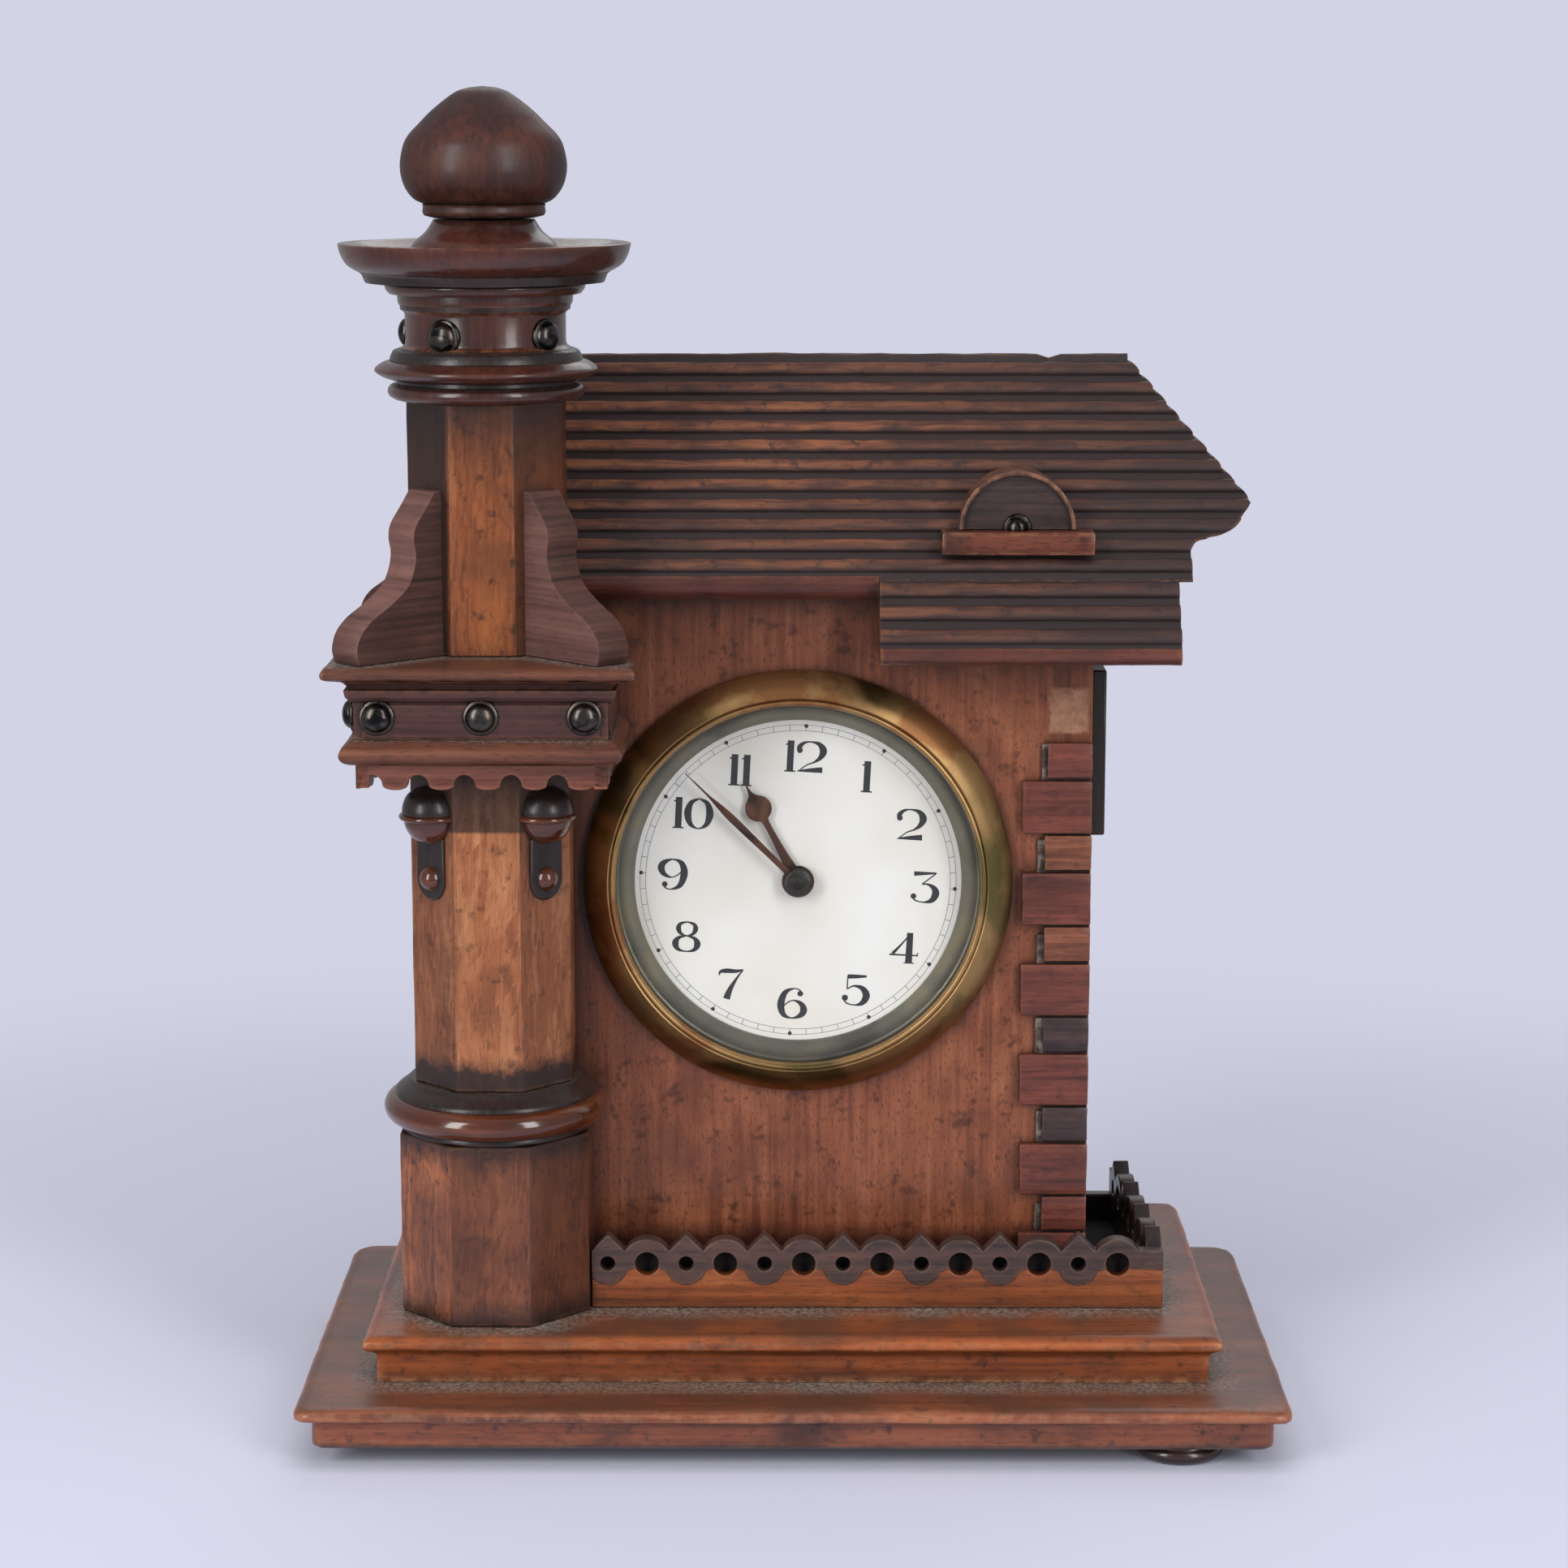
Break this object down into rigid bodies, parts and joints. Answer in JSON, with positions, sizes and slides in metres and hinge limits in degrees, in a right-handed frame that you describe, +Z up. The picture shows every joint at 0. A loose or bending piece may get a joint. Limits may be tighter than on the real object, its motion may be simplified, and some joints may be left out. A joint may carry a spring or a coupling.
{
  "type": "mantel clock",
  "caption": "Carved wooden mantel clock shaped as a house with an octagonal corner turret, ribbed roof, pierced terrace gallery and a round brass-rimmed dial with a wound movement.",
  "frame": {"origin": "middle of the footprint's bounding box, on the table under the feet", "axes": "+Z up, -Y out of the dial towards the viewer, +X to the viewer's right"},
  "size_m": [0.202, 0.11, 0.2758],
  "materials": {
    "stained_walnut": "stained and waxed walnut, worn lighter on the edges",
    "dark_walnut": "dark stained walnut, satin",
    "ebonised_wood": "blackened turned wood, satin",
    "aged_brass": "aged brass, satin",
    "steel": "brushed steel",
    "blued_steel": "heat-coloured steel",
    "dial_paper": "matt off-white printed dial",
    "glass": "clear flat glass"
  },
  "bodies": {
    "clock_case": {"front_panel": "stained_walnut", "left_wall": "stained_walnut", "right_wall": "stained_walnut", "back_panel": "stained_walnut", "roof_main": "stained_walnut", "pent_roof": "stained_walnut", "turret_base": "stained_walnut", "turret_shaft": "stained_walnut", "turret_upper_shaft": "stained_walnut", "bracket_front_left": "stained_walnut", "bracket_front_right": "stained_walnut", "bracket_back_left": "stained_walnut", "gallery_front": "stained_walnut", "gallery_side": "stained_walnut", "base_lower": "dark_walnut", "base_upper": "dark_walnut", "quoin_strip": "dark_walnut", "dormer_arch": "dark_walnut", "dormer_sill": "dark_walnut", "pendant_left": "dark_walnut", "pendant_right": "dark_walnut", "capital_lower": "dark_walnut", "capital_top": "dark_walnut", "finial": "dark_walnut", "foot_front_left": "ebonised_wood", "foot_front_right": "ebonised_wood", "foot_back_left": "ebonised_wood", "foot_back_right": "ebonised_wood", "side_bay": "ebonised_wood", "turret_ring": "ebonised_wood", "capital_frieze": "ebonised_wood", "crown": "ebonised_wood", "gallery_rail": "ebonised_wood", "bezel": "aged_brass", "sight_ring": "aged_brass", "movement_can": "aged_brass", "front_plate": "aged_brass", "back_plate": "aged_brass", "hairspring": "blued_steel", "dial": "dial_paper", "glass": "glass"},
    "hand_arbor": {"centre_arbor": "steel", "minute_hand": "blued_steel", "set_knob": "aged_brass"},
    "hour_assembly": {"hour_wheel": "aged_brass", "hour_hand": "blued_steel"},
    "minute_assembly": {"minute_wheel": "aged_brass"},
    "centre_assembly": {"centre_wheel": "aged_brass"},
    "third_assembly": {"third_wheel": "aged_brass"},
    "fourth_assembly": {"fourth_wheel": "aged_brass"},
    "escape_assembly": {"escape_wheel": "aged_brass"},
    "barrel_assembly": {"barrel": "aged_brass", "mainspring": "steel"},
    "winding_assembly": {"winding_arbor": "steel", "ratchet_wheel": "steel", "winding_key": "aged_brass"},
    "click_lever": {"click": "steel"},
    "balance_assembly": {"balance_wheel": "aged_brass"},
    "pallet_assembly": {"pallet_lever": "steel"},
    "regulator_index": {"regulator": "steel"}
  },
  "joints": [
    {"name": "hand_setting", "type": "hinge", "parent": "clock_case", "child": "hand_arbor", "pos_m": [0.001, 0.01, 0.1122], "axis": [0, 1, 0], "continuous": true},
    {"name": "hour_wheel_turn", "type": "hinge", "parent": "clock_case", "child": "hour_assembly", "pos_m": [0.001, 0.01, 0.1122], "axis": [0, 1, 0], "continuous": true},
    {"name": "minute_wheel_turn", "type": "hinge", "parent": "clock_case", "child": "minute_assembly", "pos_m": [-0.00671, 0.01, 0.10301], "axis": [0, 1, 0], "continuous": true},
    {"name": "fourth_wheel_turn", "type": "hinge", "parent": "clock_case", "child": "fourth_assembly", "pos_m": [0.00212, 0.01, 0.12568], "axis": [0, 1, 0], "continuous": true},
    {"name": "third_wheel_turn", "type": "hinge", "parent": "clock_case", "child": "third_assembly", "pos_m": [0.01206, 0.01, 0.11994], "axis": [0, 1, 0], "continuous": true},
    {"name": "centre_wheel_turn", "type": "hinge", "parent": "clock_case", "child": "centre_assembly", "pos_m": [0.001, 0.01, 0.1122], "axis": [0, 1, 0], "continuous": true},
    {"name": "barrel_turn", "type": "hinge", "parent": "clock_case", "child": "barrel_assembly", "pos_m": [0.001, 0.01, 0.0954], "axis": [0, 1, 0], "continuous": true},
    {"name": "escape_wheel_turn", "type": "hinge", "parent": "clock_case", "child": "escape_assembly", "pos_m": [-0.00868, 0.01, 0.12568], "axis": [0, 1, 0], "continuous": true},
    {"name": "winding", "type": "hinge", "parent": "clock_case", "child": "winding_assembly", "pos_m": [0.001, 0.01, 0.0954], "axis": [0, 1, 0], "continuous": true},
    {"name": "click_lift", "type": "hinge", "parent": "clock_case", "child": "click_lever", "pos_m": [-0.00849, 0.01, 0.09195], "axis": [0, 1, 0], "range_deg": [0, 12], "stiffness_Nm_per_rad": 0.0002},
    {"name": "balance_swing", "type": "hinge", "parent": "clock_case", "child": "balance_assembly", "pos_m": [-0.01685, 0.01, 0.11202], "axis": [0, 1, 0], "range_deg": [-150, 150], "stiffness_Nm_per_rad": 0.000023},
    {"name": "pallet_rock", "type": "hinge", "parent": "clock_case", "child": "pallet_assembly", "pos_m": [-0.0137, 0.01, 0.12066], "axis": [0, 1, 0], "range_deg": [-7, 7]},
    {"name": "regulator_index_turn", "type": "hinge", "parent": "clock_case", "child": "regulator_index", "pos_m": [-0.01685, 0.01, 0.11202], "axis": [0, 1, 0], "range_deg": [-25, 25]}
  ],
  "couplings": [
    {"joint": "minute_wheel_turn", "follows": "hand_setting", "ratio": -0.33333},
    {"joint": "hour_wheel_turn", "follows": "hand_setting", "ratio": 0.083333},
    {"joint": "third_wheel_turn", "follows": "fourth_wheel_turn", "ratio": -0.13333},
    {"joint": "centre_wheel_turn", "follows": "fourth_wheel_turn", "ratio": 0.016667},
    {"joint": "barrel_turn", "follows": "fourth_wheel_turn", "ratio": -0.0027778},
    {"joint": "escape_wheel_turn", "follows": "fourth_wheel_turn", "ratio": -8},
    {"joint": "pallet_rock", "follows": "balance_swing", "ratio": -0.04}
  ]
}
